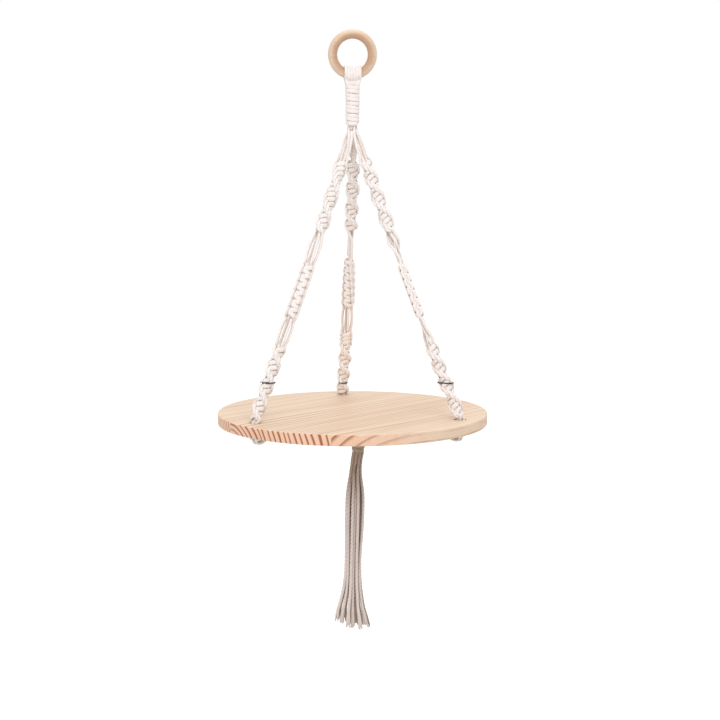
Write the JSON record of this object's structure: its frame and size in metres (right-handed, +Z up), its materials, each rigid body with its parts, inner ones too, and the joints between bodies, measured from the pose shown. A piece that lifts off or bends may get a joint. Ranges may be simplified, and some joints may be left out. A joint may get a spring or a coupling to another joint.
{
  "type": "hanging rope shelf",
  "caption": "Round pine shelf hung from a wooden ring on three knotted cotton straps, with a long cord tassel below.",
  "frame": {"origin": "the place at the top of the ring's eye where a hook carries it, in the ring's middle plane", "axes": "+Z up, +X to the viewer's right across the face of the ring, +Y to the back where one strap is"},
  "size_m": [0.3, 0.3, 0.665],
  "materials": {
    "turned_wood": "satin",
    "pine": "matt",
    "cotton": "soft twisted cord",
    "winding": "soft twisted cord",
    "tassel_cotton": "soft twisted cord",
    "thread": "thin dark thread"
  },
  "bodies": {
    "ring": {"hanging_ring": "turned_wood"},
    "loops": {"cord_loop_1": "cotton", "cord_loop_2": "cotton", "cord_loop_3": "cotton", "cord_loop_4": "cotton", "cord_loop_5": "cotton", "cord_loop_6": "cotton"},
    "wrap": {"top_winding": "winding", "top_bundle": "cotton"},
    "shelf": {"shelf_board": "pine", "back_knotting_cord_a": "cotton", "back_knotting_cord_b": "cotton", "left_knotting_cord_a": "cotton", "left_knotting_cord_b": "cotton", "right_knotting_cord_a": "cotton", "right_knotting_cord_b": "cotton", "back_filler_cord_a": "cotton", "back_filler_cord_b": "cotton", "left_filler_cord_a": "cotton", "left_filler_cord_b": "cotton", "right_filler_cord_a": "cotton", "right_filler_cord_b": "cotton", "back_binding_thread": "thread", "left_binding_thread": "thread", "right_binding_thread": "thread", "under_winding": "winding", "under_bundle": "cotton"},
    "tassel_neck": {"tassel_neck": "tassel_cotton"},
    "tassel": {"tassel_strand_1": "tassel_cotton", "tassel_strand_2": "tassel_cotton", "tassel_strand_3": "tassel_cotton", "tassel_strand_4": "tassel_cotton", "tassel_strand_5": "tassel_cotton", "tassel_strand_6": "tassel_cotton", "tassel_strand_7": "tassel_cotton", "tassel_strand_8": "tassel_cotton", "tassel_strand_9": "tassel_cotton", "tassel_strand_10": "tassel_cotton", "tassel_strand_11": "tassel_cotton", "tassel_strand_12": "tassel_cotton"}
  },
  "joints": [
    {"name": "shelf_swing", "type": "hinge", "parent": "ring", "child": "loops", "pos_m": [0, 0, -0.0372], "axis": [1, 0, 0], "range_deg": [-45, 45], "deforming": ["cord_loop_1", "cord_loop_2", "cord_loop_3", "cord_loop_4", "cord_loop_5", "cord_loop_6"]},
    {"name": "shelf_sway", "type": "hinge", "parent": "loops", "child": "wrap", "pos_m": [0, 0, -0.0455], "axis": [0, 1, 0], "range_deg": [-15, 15], "deforming": ["cord_loop_1", "cord_loop_2", "cord_loop_3", "cord_loop_4", "cord_loop_5", "cord_loop_6"]},
    {"name": "shelf_twist", "type": "hinge", "parent": "wrap", "child": "shelf", "pos_m": [0, 0, -0.0925], "axis": [0, 0, 1], "range_deg": [-45, 45]},
    {"name": "tassel_swing", "type": "hinge", "parent": "shelf", "child": "tassel_neck", "pos_m": [0, 0, -0.4574], "axis": [1, 0, 0], "range_deg": [-40, 40], "deforming": ["tassel_neck"]},
    {"name": "tassel_sway", "type": "hinge", "parent": "tassel_neck", "child": "tassel", "pos_m": [0, 0, -0.4574], "axis": [0, 1, 0], "range_deg": [-40, 40], "deforming": ["tassel_neck"]}
  ]
}
